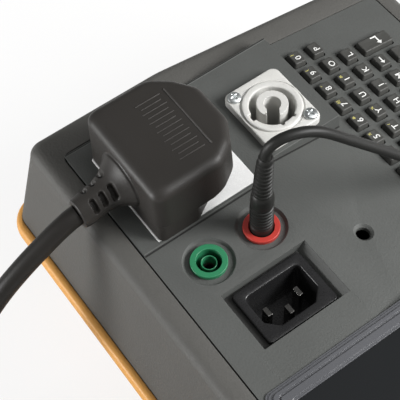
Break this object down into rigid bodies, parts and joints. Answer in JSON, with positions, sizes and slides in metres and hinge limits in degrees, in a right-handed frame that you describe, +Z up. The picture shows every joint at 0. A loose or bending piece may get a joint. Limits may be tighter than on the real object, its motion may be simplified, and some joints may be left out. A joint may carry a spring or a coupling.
{
  "type": "electrical installation tester",
  "caption": "Portable appliance tester: amber and grey sloped case with sunken panel, mains outlet, round outlet, test sockets, keys, display, plug with lead and probe lead",
  "frame": {"origin": "On the table under the middle of the case, level with the feet's soles", "axes": "+X to the user's right along the case's long side, +Y to the rear, away from the user, +Z up"},
  "size_m": [0.275, 0.44, 0.154],
  "materials": {
    "amber_plastic": "fine moulded texture",
    "case_grey": "fine moulded texture",
    "panel_grey": "fine moulded texture",
    "foot_rubber": "matte",
    "steel": "plain",
    "white_plastic": "smooth gloss",
    "brass": "plain",
    "outlet_grey": "fine moulded texture",
    "green_plastic": "fine moulded texture",
    "red_plastic": "fine moulded texture",
    "black_plastic": "fine moulded texture",
    "frame_grey": "fine moulded texture",
    "window_dark": "smooth gloss",
    "board_green": "fine moulded texture",
    "key_rubber": "matte",
    "pale_key": "matte",
    "iron": "dull",
    "cord_black": "matte"
  },
  "bodies": {
    "case": {"base_shell": "amber_plastic", "top_shell": "case_grey", "panel_plate": "panel_grey", "rubber_feet": "foot_rubber", "case_screws": "steel", "outlet_plate": "white_plastic", "outlet_contacts": "brass", "round_outlet": "outlet_grey", "round_outlet_core": "outlet_grey", "round_outlet_screws": "steel", "bond_socket": "green_plastic", "probe_socket": "red_plastic", "socket_sleeves": "brass", "bond_zero_bush": "brass", "test_inlet": "black_plastic", "test_inlet_pins": "steel", "display_frame": "frame_grey", "display_window": "window_dark", "display_module": "board_green", "keypad_board": "board_green", "main_board": "board_green", "board_pillars": "brass", "transformer": "iron", "supply_inlet": "black_plastic", "supply_pins": "steel", "plug_body": "cord_black", "plug_pins": "brass", "plug_relief": "cord_black", "test_lead": "cord_black", "test_lead_coil": "cord_black", "lead_connector": "cord_black", "probe_plug": "cord_black", "probe_plug_pin": "brass", "probe_lead": "cord_black", "probe_lead_coil": "cord_black", "probe_handle": "red_plastic", "probe_tip": "steel"},
    "key_row_1_body": {"key_row_1": "key_rubber"},
    "key_row_2_body": {"key_row_2": "key_rubber"},
    "key_row_3_body": {"key_row_3": "key_rubber"},
    "key_row_4_body": {"key_row_4": "key_rubber"},
    "key_row_5_body": {"key_row_5": "key_rubber"},
    "enter_key_body": {"enter_key": "key_rubber"},
    "function_key_1_body": {"function_key_1": "pale_key"},
    "function_key_2_body": {"function_key_2": "pale_key"},
    "function_key_3_body": {"function_key_3": "pale_key"},
    "function_key_4_body": {"function_key_4": "pale_key"},
    "start_button_body": {"start_button": "green_plastic"},
    "stop_button_body": {"stop_button": "red_plastic"},
    "switch_body": {"power_switch": "black_plastic"}
  },
  "joints": [
    {"name": "key_row_1_press", "type": "slide", "parent": "case", "child": "key_row_1_body", "axis": [0, 0.1478, -0.989], "range_m": [0, 0.001], "stiffness_N_per_m": 400, "springref_m": -0.0004},
    {"name": "key_row_2_press", "type": "slide", "parent": "case", "child": "key_row_2_body", "axis": [0, 0.1478, -0.989], "range_m": [0, 0.001], "stiffness_N_per_m": 400, "springref_m": -0.0004},
    {"name": "key_row_3_press", "type": "slide", "parent": "case", "child": "key_row_3_body", "axis": [0, 0.1478, -0.989], "range_m": [0, 0.001], "stiffness_N_per_m": 400, "springref_m": -0.0004},
    {"name": "key_row_4_press", "type": "slide", "parent": "case", "child": "key_row_4_body", "axis": [0, 0.1478, -0.989], "range_m": [0, 0.001], "stiffness_N_per_m": 400, "springref_m": -0.0004},
    {"name": "key_row_5_press", "type": "slide", "parent": "case", "child": "key_row_5_body", "axis": [0, 0.1478, -0.989], "range_m": [0, 0.001], "stiffness_N_per_m": 400, "springref_m": -0.0004},
    {"name": "enter_key_press", "type": "slide", "parent": "case", "child": "enter_key_body", "axis": [0, 0.1478, -0.989], "range_m": [0, 0.001], "stiffness_N_per_m": 400, "springref_m": -0.0004},
    {"name": "function_key_1_press", "type": "slide", "parent": "case", "child": "function_key_1_body", "axis": [0, 0.1478, -0.989], "range_m": [0, 0.001], "stiffness_N_per_m": 400, "springref_m": -0.0004},
    {"name": "function_key_2_press", "type": "slide", "parent": "case", "child": "function_key_2_body", "axis": [0, 0.1478, -0.989], "range_m": [0, 0.001], "stiffness_N_per_m": 400, "springref_m": -0.0004},
    {"name": "function_key_3_press", "type": "slide", "parent": "case", "child": "function_key_3_body", "axis": [0, 0.1478, -0.989], "range_m": [0, 0.001], "stiffness_N_per_m": 400, "springref_m": -0.0004},
    {"name": "function_key_4_press", "type": "slide", "parent": "case", "child": "function_key_4_body", "axis": [0, 0.1478, -0.989], "range_m": [0, 0.001], "stiffness_N_per_m": 400, "springref_m": -0.0004},
    {"name": "start_button_press", "type": "slide", "parent": "case", "child": "start_button_body", "axis": [0, 0.1478, -0.989], "range_m": [0, 0.001], "stiffness_N_per_m": 400, "springref_m": -0.0004},
    {"name": "stop_button_press", "type": "slide", "parent": "case", "child": "stop_button_body", "axis": [0, 0.1478, -0.989], "range_m": [0, 0.001], "stiffness_N_per_m": 400, "springref_m": -0.0004},
    {"name": "power_switch_rock", "type": "hinge", "parent": "case", "child": "switch_body", "pos_m": [-0.12928, 0.0445, 0.07268], "axis": [0, -1, 0], "range_deg": [0, 18]}
  ]
}
